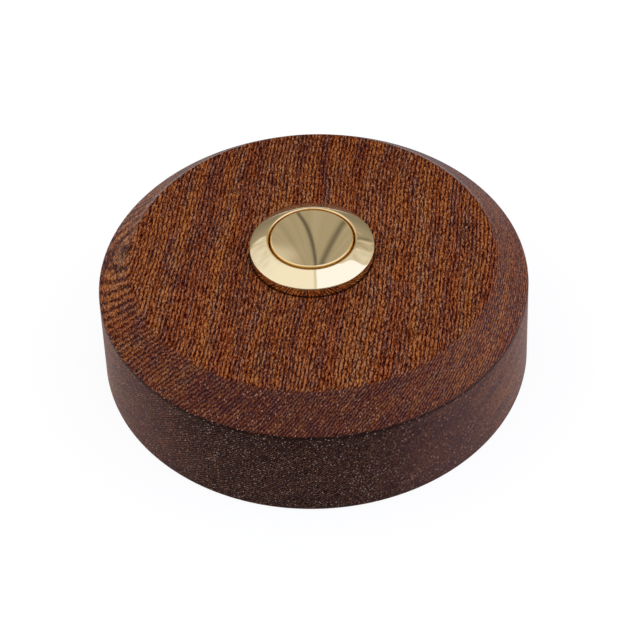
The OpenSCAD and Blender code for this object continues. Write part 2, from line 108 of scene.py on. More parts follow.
# Sizes of the bezel and its barrel
BEZEL_R = reach_of("bezel_body")
BEZEL_Z = top_of("bezel_gasket")
BEZEL_EDGE_H = 1.6
BEZEL_EDGE_EASE = 0.13
SKIRT_T = 0.35
SKIRT_GAP = 0.04
SKIRT_EASE = 0.06
LIP_Z = top_of("bezel_body")
LIP_W = 0.35
LIP_EASE = 0.33
LIP_EDGE_EASE = 0.03
LIP_POLISH = 0.36
WALL_REACH = 0.01
SLOPE_RINGS = 6
SLOPE_BULGE = 0.055
THROAT_R = 7.6
CHAMBER_R = 8.1
INSERT_BORE_R = 8.4
BORE_EASE = 0.1
RING_GROOVE_R = 8.7
RING_GROOVE_H = 0.9
BARREL_TAIL = 0.8
BARREL_R = 9.5
BARREL_Z = foot_of("bezel_body")
BARREL_EASE = 0.15
THREAD_LEAD = 0.4
THREAD_RUNOUT = 0.8
THREAD_PITCH = 1
THREAD_DEPTH = 0.45

# Sizes of the button
CAP_R = 7.3
CAP_TOP_Z = top_of("button_cap")
CAP_FOOT_Z = foot_of("button_cap")
CAP_EASE = 0.1
RIM_DROP = 0.08
RIM_EASE = 0.27
RIM_POLISH = 0.1
COLLAR_R = reach_of("button_cap")
COLLAR_T = 1.35
STOP_GAP = 0.05
SEAL_GROOVE_R = 6.29
SEAL_GROOVE_H = 1.31
SEAL_BELOW_LIP = 2.1
HOLLOW_R = 5.34
HOLLOW_BELOW_LIP = 3.2
SEAT_BELOW_COLLAR = 2
HUB_R = 3
SPIGOT_R = 1.6
SPIGOT_LEN = 2.62
DISH_R = 7.0
DISH_DEPTH = 0.65
DISH_RINGS = 12

# Sizes of the spring and of the grommet in the rear cover
WIRE_R = 0.25
WIRE_SIDES = 12
SPRING_TURNS = 7
SPRING_STEPS = 48
COVER_EASE = 0.25
GROMMET_Y = 17
GROMMET_BORE_R = 2
GROMMET_NECK_R = 3.4
GROMMET_R = 4.8
GROMMET_FOOT_EASE = 0.4
GROMMET_TOP_EASE = 0.3
GROMMET_GROOVE_EASE = 0.15


# Mesh making

def finished(name, bm, crisp=None):
    """The object of a finished bmesh, shaded smooth up to its sharp edges and the crisp edge ring."""
    mesh = bpy.data.meshes.new(name)
    bm.to_mesh(mesh)
    bm.free()
    for face in mesh.polygons:
        face.use_smooth = True
    mesh.set_sharp_from_angle(angle=SMOOTH_BELOW)
    for edge in mesh.edges:
        if crisp and all(on_ring(mesh.vertices[index].co, *crisp) for index in edge.vertices):
            edge.use_edge_sharp = True
    piece = bpy.data.objects.new(name, mesh)
    bpy.context.scene.collection.objects.link(piece)
    shading = piece.modifiers.new("even_shading", "WEIGHTED_NORMAL")
    shading.keep_sharp = True
    return piece


def on_ring(place, radius, height):
    """Whether a place lies on the level circle at a radius and height in millimetres."""
    reach = math.hypot(place.x, place.y)
    return abs(reach - radius * MM) < SAME_PLACE and abs(place.z - height * MM) < SAME_PLACE


def ring_edges(bm, radius, height):
    """Edges of the level circle at a radius and height in millimetres."""
    return [edge for edge in bm.edges if all(on_ring(vert.co, radius, height) for vert in edge.verts)]


def turned(name, corners, centre=(0, 0), crisp=None):
    """A piece turned about the Z axis from corners of (radius, height, rounding), in millimetres."""
    bm = bmesh.new()
    verts = [bm.verts.new((radius * MM, 0, height * MM)) for radius, height, _ in corners]
    pairs = zip(verts, verts[1:] + verts[:1])
    edges = [bm.edges.new(pair) for pair in pairs if max(vert.co.x for vert in pair) > 0]
    bmesh.ops.spin(
        bm, geom=verts + edges, cent=(0, 0, 0), axis=(0, 0, 1),
        angle=math.tau, steps=TURN_STEPS, use_merge=True)
    bmesh.ops.remove_doubles(bm, verts=bm.verts, dist=SAME_PLACE)
    for radius, height, rounding in corners:
        if rounding:
            bmesh.ops.bevel(
                bm, geom=ring_edges(bm, radius, height), offset=rounding * MM, offset_type="OFFSET",
                segments=EASE_STEPS, profile=0.5, affect="EDGES", material=-1)
    bmesh.ops.recalc_face_normals(bm, faces=bm.faces)
    bmesh.ops.translate(bm, verts=bm.verts, vec=(centre[0] * MM, centre[1] * MM, 0))
    return finished(name, bm, crisp)


def eased_copy(name, node, amount):
    """A copy of a solid with its sharp edges eased by an amount in millimetres."""
    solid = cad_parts[node]
    bm = bmesh.new()
    bm.from_mesh(solid.data)
    bm.transform(solid.matrix_world)
    bmesh.ops.remove_doubles(bm, verts=bm.verts, dist=SAME_PLACE)
    bmesh.ops.dissolve_limit(bm, angle_limit=FLAT_BELOW, verts=bm.verts, edges=bm.edges)
    sharp = [edge for edge in bm.edges if edge.calc_face_angle(0) > SMOOTH_BELOW]
    bmesh.ops.bevel(
        bm, geom=sharp, offset=amount * MM, offset_type="OFFSET",
        segments=EASE_STEPS, profile=0.5, affect="EDGES", clamp_overlap=True, material=-1)
    bmesh.ops.recalc_face_normals(bm, faces=bm.faces)
    return finished(name, bm)


def coiled(name, mean_r, low_z, high_z):
    """A coil spring between two heights of its wire's centre, in millimetres."""
    bm = bmesh.new()
    wire = bmesh.ops.create_circle(bm, cap_ends=True, segments=WIRE_SIDES, radius=WIRE_R * MM)
    upright = Matrix.Rotation(math.pi / 2, 3, "X")
    bmesh.ops.rotate(bm, verts=wire["verts"], cent=(0, 0, 0), matrix=upright)
    bmesh.ops.translate(bm, verts=wire["verts"], vec=(mean_r * MM, 0, low_z * MM))
    steps = SPRING_TURNS * SPRING_STEPS
    bmesh.ops.spin(
        bm, geom=bm.verts[:] + bm.edges[:] + bm.faces[:], cent=(0, 0, 0), axis=(0, 0, 1),
        dvec=(0, 0, (high_z - low_z) * MM / steps), angle=SPRING_TURNS * math.tau, steps=steps)
    bmesh.ops.remove_doubles(bm, verts=bm.verts, dist=SAME_PLACE)
    bmesh.ops.recalc_face_normals(bm, faces=bm.faces)
    return finished(name, bm)


# Shader nodes

def feed(tree, socket, value):
    """Links a socket to another, or sets it to a plain value."""
    if isinstance(value, bpy.types.NodeSocket):
        tree.links.new(value, socket)
    else:
        socket.default_value = value


def calc(tree, operation, *values):
    """Result of a math node."""
    node = tree.nodes.new("ShaderNodeMath")
    node.operation = operation
    for socket, value in zip(node.inputs, values):
        feed(tree, socket, value)
    return node.outputs[0]


def times(tree, first, second):
    """Product of two values."""
    return calc(tree, "MULTIPLY", first, second)


def plus(tree, *values):
    """Sum of several values."""
    total = values[0]
    for value in values[1:]:
        total = calc(tree, "ADD", total, value)
    return total


def apart(tree, first, second):
    """How far apart two values are."""
    return calc(tree, "ABSOLUTE", calc(tree, "SUBTRACT", first, second))


def ease(tree, value, low, high, start=0, end=1):
    """A smooth step of value, from start at low to end at high."""
    node = tree.nodes.new("ShaderNodeMapRange")
    node.interpolation_type = "SMOOTHSTEP"
    for name, number in (("From Min", low), ("From Max", high), ("To Min", start), ("To Max", end)):
        node.inputs[name].default_value = number
    feed(tree, node.inputs["Value"], value)
    return node.outputs[0]


def mix(tree, factor, first, second):
    """A number between two numbers."""
    node = tree.nodes.new("ShaderNodeMix")
    node.data_type = "FLOAT"
    feed(tree, node.inputs[0], factor)
    feed(tree, node.inputs[2], first)
    feed(tree, node.inputs[3], second)
    return node.outputs[0]


def mix_colour(tree, factor, first, second, blend="MIX"):
    """A colour between two colours."""
    node = tree.nodes.new("ShaderNodeMix")
    node.data_type = "RGBA"
    node.blend_type = blend
    feed(tree, node.inputs[0], factor)
    feed(tree, node.inputs[6], first)
    feed(tree, node.inputs[7], second)
    return node.outputs[2]


def ramp(tree, factor, stops):
    """A colour ramp through (position, colour) stops."""
    node = tree.nodes.new("ShaderNodeValToRGB")
    elements = node.color_ramp.elements
    while len(elements) < len(stops):
        elements.new(1)
    for element, (position, colour) in zip(elements, stops):
        element.position = position
        element.color = colour
    feed(tree, node.inputs[0], factor)
    return node.outputs[0]


def shade(red, green, blue):
    """The shader's colour for a colour written in screen values of 0 to 255."""
    def linear(value):
        part = value / 255
        return part / 12.92 if part <= 0.04045 else ((part + 0.055) / 1.055) ** 2.4
    return (linear(red), linear(green), linear(blue), 1)


def new_material(name):
    """A material with its node tree and its shader."""
    material = bpy.data.materials.new(name)
    material.use_nodes = True
    tree = material.node_tree
    return material, tree, tree.nodes["Principled BSDF"]


def object_place(tree):
    """Object coordinates of the piece."""
    return tree.nodes.new("ShaderNodeTexCoord").outputs["Object"]


def parts(tree, vector):
    """X, Y and Z of a vector."""
    node = tree.nodes.new("ShaderNodeSeparateXYZ")
    feed(tree, node.inputs[0], vector)
    return node.outputs


def joined(tree, x, y=0):
    """A level vector of X and Y."""
    node = tree.nodes.new("ShaderNodeCombineXYZ")
    feed(tree, node.inputs["X"], x)
    feed(tree, node.inputs["Y"], y)
    return node.outputs[0]


def from_axis(tree, x, y):
    """Distance from the Z axis."""
    return calc(tree, "SQRT", plus(tree, times(tree, x, x), times(tree, y, y)))


def noise(tree, place, scale=1, detail=0):
    """Noise value at a place."""
    node = tree.nodes.new("ShaderNodeTexNoise")
    node.inputs["Scale"].default_value = scale
    node.inputs["Detail"].default_value = detail
    feed(tree, node.inputs["Vector"], place)
    return node.outputs[0]


def contrast(tree, value, gain):
    """How far a noise value lies from its middle, times a gain."""
    return times(tree, calc(tree, "SUBTRACT", value, 0.5), gain)


def bump(tree, shader, height, distance, strength=1):
    """Relief of a height on the shader's normal."""
    node = tree.nodes.new("ShaderNodeBump")
    node.inputs["Strength"].default_value = strength
    node.inputs["Distance"].default_value = distance
    feed(tree, node.inputs["Height"], height)
    tree.links.new(node.outputs[0], shader.inputs["Normal"])


# Wood: the turn of the grain's axes, the direction of its fibres, and how they wander in millimetres
FIBRE_LEAN = math.radians(8.5)
GRAIN_TURN = (0, math.radians(53), -FIBRE_LEAN)
FIBRE = (math.sin(FIBRE_LEAN), math.cos(FIBRE_LEAN), 0)
WANDER_LENGTH = 16
WANDER = 1.6

# Marks of the grain, sized in millimetres along its growth layers, fibres and tangent
GROWTH_SIZE = (0.42, 1, 1)
WOBBLE_SIZE = (0.5, 1.05, 0.6)
DASH_SIZE = (0.13, 0.46, 0.21)
FIBRE_SIZE = (0.12, 1.3, 0.3)
BREAK_SIZE = (0.36, 0.7, 0.36)
BAND_SIZE = (1.6, 90, 6)
HUE_SIZE = (0.14, 0.45, 0.22)
PATCH_SIZE = (0.8, 12, 1.8)
SPECK_SIZE = (0.5, 2, 0.5)

# How strongly the marks show
MIDDLE_TONE = 0.5
LINE_GAIN = -0.2
WOBBLE_GAIN = 5
PORE_GAIN = -0.4
DASH_GAIN = 1.4
FIBRE_GAIN = 1.1
BAND_GAIN = 0.3
PATCH_GAIN = -0.2
PATCH_HUE_GAIN = 0.8

# Soft steps in the wood: where each starts and ends, and what it gives there if not 0 and 1
UPRIGHT = (0.5, 0.2)
SLOPING = (0.97, 0.7)
END_GRAIN = (0.27, 0.73)
WALL_END = (0.72, 0.98)
PORE_LINES = (0.3, 0.8)
PORE_BREAKS = (0.42, 0.54)
COOLNESS = (0.42, 0.76)
# Painted light: the grain's tone is raised towards the front, so that part of the face is painted paler
PAINTED_FRONT_LIGHT = (5 * MM, 34 * MM, 0.07, -0.01)
# Painted sheen: faces that slope and turn towards +X are painted paler, as light on the oil
PAINTED_SHEEN = (0.15, 0.6, 0, 0.15)
# Painted shade: end-grain walls darker towards the chamfer, a painted shadow line under its edge and a
# painted contact shadow round the bezel
UNDER_EDGE_SHADE = ((CHAMFER_Z - 10) * MM, (CHAMFER_Z - 1) * MM, 0, 0.3)
EDGE_SHADOW_LINE = ((CHAMFER_Z - 0.9) * MM, (CHAMFER_Z - 0.4) * MM, 0, 0.8)
SEAT_SHADOW = ((BEZEL_R + 0.32) * MM, (BEZEL_R + 0.08) * MM, 0, 0.85)
SPECKS = (0.28, 0.14)
ON_FACE = ((FACE_R + 1.5) * MM, (FACE_R + 0.5) * MM)
LOW_SHEEN = (0.6, 0.85, 0, 0.4)

# Colours and gloss of the wood
WARM_WOOD = (
    (0.0, shade(53, 5, 0)),
    (0.25, shade(92, 36, 9)),
    (0.5, shade(120, 59, 23)),
    (0.75, shade(149, 82, 39)),
    (1.0, shade(194, 122, 68)))
COOL_WOOD = (
    (0.0, shade(40, 14, 11)),
    (0.25, shade(64, 38, 35)),
    (0.5, shade(88, 56, 48)),
    (0.75, shade(124, 82, 64)),
    (1.0, shade(180, 134, 104)))
END_WOOD = (
    (0.1, shade(29, 7, 2)),
    (0.5, shade(46, 24, 18)),
    (0.8, shade(88, 57, 46)),
    (1.0, shade(142, 110, 94)))
BAND_TINTS = (
    (0.35, (0.95, 0.85, 0.9, 1)),
    (0.65, (1.08, 1.1, 0.95, 1)))
WARM_END_TINT = (1.12, 0.97, 0.78, 1)
COOL_END_TINT = (0.85, 1, 1.25, 1)
SLANT_SHADE = shade(56, 31, 38)
SLANT_SHARE = 0.56
# Colour of the painted sheen
PAINTED_SHEEN_COLOUR = shade(112, 94, 98)
# Colour of the painted shade and shadows
PAINTED_SHADOW_COLOUR = shade(28, 8, 4)
SLANT_SPECK = shade(222, 160, 122)
END_SPECK = shade(218, 194, 174)
WOOD_ROUGHNESS = (0.55, 0.35)
FACE_GLOSS = 0.02
SLANT_GLOSS = 0.055
END_GLOSS = 0.035
WOOD_RELIEF = 0.03 * MM
RELIEF_STRENGTH = 0.4


def along_grain(tree, place, size):
    """Place counted along growth layers, fibres and the tangent, in units of a size in millimetres."""
    node = tree.nodes.new("ShaderNodeMapping")
    node.vector_type = "TEXTURE"
    node.inputs["Rotation"].default_value = GRAIN_TURN
    node.inputs["Scale"].default_value = [length * MM for length in size]
    feed(tree, node.inputs["Vector"], place)
    return node.outputs[0]


def wandering(tree, place):
    """Place shifted sideways by slow noise, so that the grain wanders."""
    shift = contrast(tree, noise(tree, place, scale=1 / (WANDER_LENGTH * MM)), WANDER * MM)
    moved = tree.nodes.new("ShaderNodeVectorMath")
    feed(tree, moved.inputs[0], place)
    feed(tree, moved.inputs[1], joined(tree, shift))
    return moved.outputs[0]


def fibre_facing(tree, normal):
    """How squarely a normal faces along the fibres."""
    dot = tree.nodes.new("ShaderNodeVectorMath")
    dot.operation = "DOT_PRODUCT"
    feed(tree, dot.inputs[0], normal)
    feed(tree, dot.inputs[1], FIBRE)
    return calc(tree, "ABSOLUTE", dot.outputs["Value"])


def mark(tree, place, size, detail=0):
    """Noise of one kind of mark in the grain."""
    return noise(tree, along_grain(tree, place, size), detail=detail)


def grain(tree, place, y):
    """Tone of the grain, how cool its colour is, its broad bands and its short dashes."""
    layers = parts(tree, along_grain(tree, place, GROWTH_SIZE))[0]
    wobble = contrast(tree, mark(tree, place, WOBBLE_SIZE), WOBBLE_GAIN)
    lines = calc(tree, "SINE", plus(tree, times(tree, layers, math.tau), wobble))
    dashes = mark(tree, place, DASH_SIZE)
    fibres = mark(tree, place, FIBRE_SIZE)
    breaks = mark(tree, place, BREAK_SIZE)
    pores = times(tree, ease(tree, lines, *PORE_LINES), ease(tree, breaks, *PORE_BREAKS))
    bands = mark(tree, place, BAND_SIZE, detail=1)
    patches = mark(tree, place, PATCH_SIZE, detail=1)
    hue = plus(tree, mark(tree, place, HUE_SIZE), contrast(tree, patches, PATCH_HUE_GAIN))
    tone = plus(
        tree, MIDDLE_TONE,
        times(tree, lines, LINE_GAIN),
        times(tree, pores, PORE_GAIN),
        contrast(tree, dashes, DASH_GAIN),
        contrast(tree, fibres, FIBRE_GAIN),
        contrast(tree, bands, BAND_GAIN),
        contrast(tree, patches, PATCH_GAIN),
        # painted light: the tone is raised towards the front of the face
        ease(tree, y, *PAINTED_FRONT_LIGHT))
    return tone, ease(tree, hue, *COOLNESS), bands, dashes


def wood_colour(tree, tone, coolness, bands, end_grain, wall_end):
    """Colour of the grain on the face, on the chamfer and on the end-grain sides."""
    face = mix_colour(tree, coolness, ramp(tree, tone, WARM_WOOD), ramp(tree, tone, COOL_WOOD))
    face = mix_colour(tree, 1, face, ramp(tree, bands, BAND_TINTS), "MULTIPLY")
    slant = mix_colour(tree, SLANT_SHARE, face, SLANT_SHADE)
    colour = mix_colour(tree, end_grain, face, slant)
    colour = mix_colour(tree, wall_end, colour, ramp(tree, tone, END_WOOD))
    end_tint = mix_colour(tree, coolness, WARM_END_TINT, COOL_END_TINT)
    return mix_colour(tree, wall_end, colour, mix_colour(tree, 1, colour, end_tint, "MULTIPLY"))


def painted_shade_lines(tree, z, reach, upright, wall_end):
    """Strength of the painted shade on the end-grain walls under the chamfer, of the painted shadow line
    just under its edge and of the painted contact shadow round the bezel's seat.
    """
    under_edge_shade = times(tree, ease(tree, z, *UNDER_EDGE_SHADE), wall_end)
    edge_shadow_line = times(tree, ease(tree, z, *EDGE_SHADOW_LINE), upright)
    return under_edge_shade, edge_shadow_line, ease(tree, reach, *SEAT_SHADOW)


def pale_specks(tree, place):
    """Strength of the pale specks, brighter in some cells than in others."""
    cells = tree.nodes.new("ShaderNodeTexVoronoi")
    cells.inputs["Scale"].default_value = 1
    feed(tree, cells.inputs["Vector"], along_grain(tree, place, SPECK_SIZE))
    kind = tree.nodes.new("ShaderNodeSeparateColor")
    tree.links.new(cells.outputs["Color"], kind.inputs[0])
    return times(tree, ease(tree, cells.outputs["Distance"], *SPECKS), kind.outputs[0])


def wood_gloss(tree, reach, sloping, wall_end):
    """Gloss of the oil, with a sheen on the face where it is seen at a low angle."""
    gloss = mix(tree, wall_end, mix(tree, sloping, FACE_GLOSS, SLANT_GLOSS), END_GLOSS)
    grazing = tree.nodes.new("ShaderNodeLayerWeight").outputs["Facing"]
    sheen = times(tree, ease(tree, grazing, *LOW_SHEEN), ease(tree, reach, *ON_FACE))
    return plus(tree, gloss, sheen)


def wood_finish():
    """Oiled reddish-brown wood, with fibres along its face and end grain at its front and back."""
    material, tree, shader = new_material("oiled_wood")
    x, y, z = parts(tree, object_place(tree))
    reach = from_axis(tree, x, y)
    place = wandering(tree, object_place(tree))
    normal = tree.nodes.new("ShaderNodeNewGeometry").outputs["True Normal"]
    normal_x, _, normal_z = parts(tree, normal)
    levelness = calc(tree, "ABSOLUTE", normal_z)
    upright = ease(tree, levelness, *UPRIGHT)
    sloping = ease(tree, levelness, *SLOPING)
    facing = fibre_facing(tree, normal)
    end_grain = ease(tree, facing, *END_GRAIN)
    wall_end = ease(tree, facing, *WALL_END)

    tone, coolness, bands, dashes = grain(tree, place, y)
    colour = wood_colour(tree, tone, coolness, bands, end_grain, wall_end)
    # Painted sheen: the chamfer and walls that face towards +X are painted paler, as light on the oil.
    painted_sheen = times(tree, ease(tree, normal_x, *PAINTED_SHEEN), sloping)
    colour = mix_colour(tree, painted_sheen, colour, PAINTED_SHEEN_COLOUR)
    # Painted shade: the walls darker under the chamfer, a painted shadow line under its edge and a painted
    # contact shadow round the bezel's seat.
    for line in painted_shade_lines(tree, z, reach, upright, wall_end):
        colour = mix_colour(tree, line, colour, PAINTED_SHADOW_COLOUR)
    specks = times(tree, pale_specks(tree, place), end_grain)
    colour = mix_colour(tree, specks, colour, mix_colour(tree, wall_end, SLANT_SPECK, END_SPECK))

    feed(tree, shader.inputs["Base Color"], colour)
    feed(tree, shader.inputs["Roughness"], mix(tree, dashes, *WOOD_ROUGHNESS))
    feed(tree, shader.inputs["Specular IOR Level"], wood_gloss(tree, reach, sloping, wall_end))
    bump(tree, shader, tone, WOOD_RELIEF, RELIEF_STRENGTH)
    return material


# Metals, plastics and rubber: sizes of their marks in millimetres, and how much the finer marks count
CLOUD_SIZE = 2.5
PEBBLE_SIZE = 0.25
PEBBLE_SHARE = 0.4
STAIN_SIZE = 1.5
TURNING_SIZE = 0.1
TURNING_SHARE = 0.5


def surface_group(name, pattern):
    """A node group that turns a place and the two ends of a finish into colour, roughness and relief."""
    group = bpy.data.node_groups.new(name, "ShaderNodeTree")
    for socket, kind in (
            ("Place", "NodeSocketVector"), ("Low", "NodeSocketColor"), ("High", "NodeSocketColor"),
            ("Smooth", "NodeSocketFloat"), ("Rough", "NodeSocketFloat")):
        group.interface.new_socket(name=socket, in_out="INPUT", socket_type=kind)
    for socket, kind in (
            ("Color", "NodeSocketColor"), ("Roughness", "NodeSocketFloat"), ("Height", "NodeSocketFloat")):
        group.interface.new_socket(name=socket, in_out="OUTPUT", socket_type=kind)
    given = group.nodes.new("NodeGroupInput").outputs
    result = group.nodes.new("NodeGroupOutput").inputs
    share, height = pattern(group, given["Place"])
    feed(group, result["Color"], mix_colour(group, share, given["Low"], given["High"]))
    feed(group, result["Roughness"], mix(group, share, given["Smooth"], given["Rough"]))
    feed(group, result["Height"], height)
    return group


def moulded(tree, place):
    """Faint clouds and fine pebbles of moulded plastic and rubber."""
    clouds = noise(tree, place, scale=1 / (CLOUD_SIZE * MM), detail=3)
    pebbles = noise(tree, place, scale=1 / (PEBBLE_SIZE * MM), detail=1)
    return mix(tree, PEBBLE_SHARE, clouds, pebbles), pebbles


def worked(tree, place):
    """Fine turning lines and faint stains of worked metal."""
    x, y, z = parts(tree, place)
    turning = joined(tree, from_axis(tree, x, y), z)
    lines = noise(tree, turning, scale=1 / (TURNING_SIZE * MM), detail=1)
    stains = noise(tree, place, scale=1 / (STAIN_SIZE * MM), detail=3)
    return mix(tree, TURNING_SHARE, stains, lines), lines


MOULDED = surface_group("moulded_surface", moulded)
WORKED = surface_group("worked_metal", worked)


def made_finish(name, surface, low, high, smooth, rough, relief):
    """A finish between two colours and two roughnesses of a surface, with relief in millimetres."""
    material, tree, shader = new_material(name)
    group = tree.nodes.new("ShaderNodeGroup")
    group.node_tree = surface
    for socket, value in (("Low", low), ("High", high), ("Smooth", smooth), ("Rough", rough)):
        group.inputs[socket].default_value = value
    tree.links.new(object_place(tree), group.inputs["Place"])
    tree.links.new(group.outputs["Color"], shader.inputs["Base Color"])
    tree.links.new(group.outputs["Roughness"], shader.inputs["Roughness"])
    if relief:
        bump(tree, shader, group.outputs["Height"], relief * MM)
    shader.inputs["Metallic"].default_value = 1 if surface == WORKED else 0
    return material


# Finishes: surface, two colours, two roughnesses and the relief in millimetres
POLISHED_BRASS = made_finish(
    "polished_brass", WORKED, (0.92, 0.78, 0.46, 1), (0.94, 0.80, 0.48, 1), 0.04, 0.06, 0)
GOLDEN_BRASS = made_finish(
    "golden_brass", WORKED, (0.93, 0.68, 0.33, 1), (0.95, 0.71, 0.36, 1), 0.06, 0.1, 0)
TURNED_BRASS = made_finish(
    "turned_brass", WORKED, (0.84, 0.53, 0.11, 1), (0.92, 0.62, 0.16, 1), 0.5, 0.7, 0.006)
CONTACT_BRASS = made_finish(
    "contact_brass", WORKED, (0.76, 0.56, 0.25, 1), (0.87, 0.68, 0.35, 1), 0.22, 0.34, 0.004)
NUT_BRASS = made_finish(
    "nut_brass", WORKED, (0.66, 0.50, 0.23, 1), (0.82, 0.66, 0.36, 1), 0.25, 0.42, 0.006)
SPRING_STEEL = made_finish(
    "spring_steel", WORKED, (0.48, 0.49, 0.51, 1), (0.66, 0.67, 0.69, 1), 0.18, 0.3, 0.003)
PLATED_STEEL = made_finish(
    "plated_steel", WORKED, (0.58, 0.59, 0.60, 1), (0.74, 0.75, 0.76, 1), 0.2, 0.34, 0.004)
BLACK_RUBBER = made_finish(
    "black_rubber", MOULDED, shade(20, 20, 21), shade(38, 38, 39), 0.5, 0.7, 0.015)
WHITE_NYLON = made_finish(
    "white_nylon", MOULDED, shade(218, 216, 205), shade(236, 234, 226), 0.35, 0.5, 0.01)
BROWN_PHENOLIC = made_finish(
    "brown_phenolic", MOULDED, shade(68, 36, 23), shade(104, 60, 39), 0.3, 0.45, 0.01)
BLACK_PLASTIC = made_finish(
    "black_plastic", MOULDED, shade(27, 27, 29), shade(46, 46, 48), 0.4, 0.58, 0.03)
OILED_WOOD = wood_finish()

# Solids that are shown as they are, by finish
NODE_FINISHES = {
    BLACK_RUBBER: ("bezel_gasket", "button_seal"),
    WHITE_NYLON: ("plunger",),
    CONTACT_BRASS: (
        "contact_disc", "left_contact_rivet", "right_contact_rivet", "left_terminal", "right_terminal"),
    SPRING_STEEL: ("disc_clip", "insert_ring"),
    BROWN_PHENOLIC: ("switch_insert",),
    PLATED_STEEL: ("terminal_screws", "wire_clamps", "nut_washer", "cover_screws"),
    NUT_BRASS: ("panel_nut",),
}
for finish, names in NODE_FINISHES.items():
    for name in names:
        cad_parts[name].material_slots[0].material = finish


def dress(piece, finish, node, body):
    """Puts a finish on a piece that stands for a solid and moves with a body."""
    piece.data.materials.append(finish)
    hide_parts(node)
    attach(piece, body)


def refinish(piece, finish, radii, heights):
    """Puts another finish on the faces between two radii and two heights, in millimetres."""
    finishes = piece.data.materials
    if finish.name not in finishes:
        finishes.append(finish)
    for face in piece.data.polygons:
        reach = math.hypot(face.center.x, face.center.y) / MM
        if radii[0] < reach < radii[1] and heights[0] < face.center.z / MM < heights[1]:
            face.material_index = finishes.find(finish.name)


# Wood base
base_turning = turned("base_turning", (
    (RABBET_R, 0, EDGE_EASE),
    (BASE_R, 0, FOOT_EASE),
    (SIDE_TOP_R, CHAMFER_Z, EDGE_EASE),
    (FACE_R, BASE_H, EDGE_EASE),
    (HOLE_R, BASE_H, HOLE_EASE),
    (HOLE_R, WEB_Z, 0),
    (RECESS_R, WEB_Z, 0),
    (RECESS_R, COVER_IN_Z, RECESS_EASE),
    (RABBET_R, COVER_IN_Z, 0)))
dress(base_turning, OILED_WOOD, "wood_base", "base")

# Bezel with its threaded barrel
stop_z = CAP_FOOT_Z + COLLAR_T + STOP_GAP
seat_z = CAP_FOOT_Z - SEAT_BELOW_COLLAR
ring_foot_z = BARREL_Z + BARREL_TAIL
ring_z = ring_foot_z + RING_GROOVE_H
edge_z = BEZEL_Z + BEZEL_EDGE_H
lip_r = THROAT_R + LIP_W
lip_foot_z = LIP_Z - LIP_POLISH
thread = []
thread_foot_z = BARREL_Z + THREAD_LEAD
groove_count = int((BEZEL_Z - THREAD_RUNOUT - thread_foot_z) / THREAD_PITCH)
for groove in range(groove_count):
    groove_z = thread_foot_z + groove * THREAD_PITCH
    thread += [(BARREL_R, groove_z, 0), (BARREL_R - THREAD_DEPTH, groove_z + THREAD_PITCH / 2, 0)]
thread.append((BARREL_R, thread_foot_z + groove_count * THREAD_PITCH, 0))
slope = []
for ring in range(1, SLOPE_RINGS):
    way = ring / SLOPE_RINGS
    bulge = 4 * SLOPE_BULGE * way * (1 - way)
    slope.append((BEZEL_R + (lip_r - BEZEL_R) * way, edge_z + (LIP_Z - edge_z) * way + bulge, 0))
bezel_turning = turned("bezel_turning", (
    (INSERT_BORE_R, BARREL_Z, BORE_EASE),
    (BARREL_R, BARREL_Z, BARREL_EASE),
    *thread,
    (BARREL_R, BEZEL_Z, 0),
    (BEZEL_R - SKIRT_T, BEZEL_Z, 0),
    (BEZEL_R - SKIRT_T, BASE_H + SKIRT_GAP, 0),
    (BEZEL_R, BASE_H + SKIRT_GAP, SKIRT_EASE),
    (BEZEL_R, edge_z, BEZEL_EDGE_EASE),
    *slope,
    (lip_r, LIP_Z, LIP_EDGE_EASE),
    (THROAT_R, LIP_Z, LIP_EASE),
    (THROAT_R, lip_foot_z, 0),
    (THROAT_R, stop_z, 0),
    (CHAMBER_R, stop_z, 0),
    (CHAMBER_R, seat_z, 0),
    (INSERT_BORE_R, seat_z, 0),
    (INSERT_BORE_R, ring_z, 0),
    (RING_GROOVE_R, ring_z, 0),
    (RING_GROOVE_R, ring_foot_z, 0),
    (INSERT_BORE_R, ring_foot_z, 0)))
dress(bezel_turning, POLISHED_BRASS, "bezel_body", "base")
refinish(bezel_turning, TURNED_BRASS, (0, THROAT_R + WALL_REACH), (0, lip_foot_z))
refinish(bezel_turning, TURNED_BRASS, (0, BARREL_R + WALL_REACH), (0, BEZEL_Z))
refinish(bezel_turning, GOLDEN_BRASS, (0, THROAT_R + LIP_EASE), (lip_foot_z, LIP_Z + WALL_REACH))

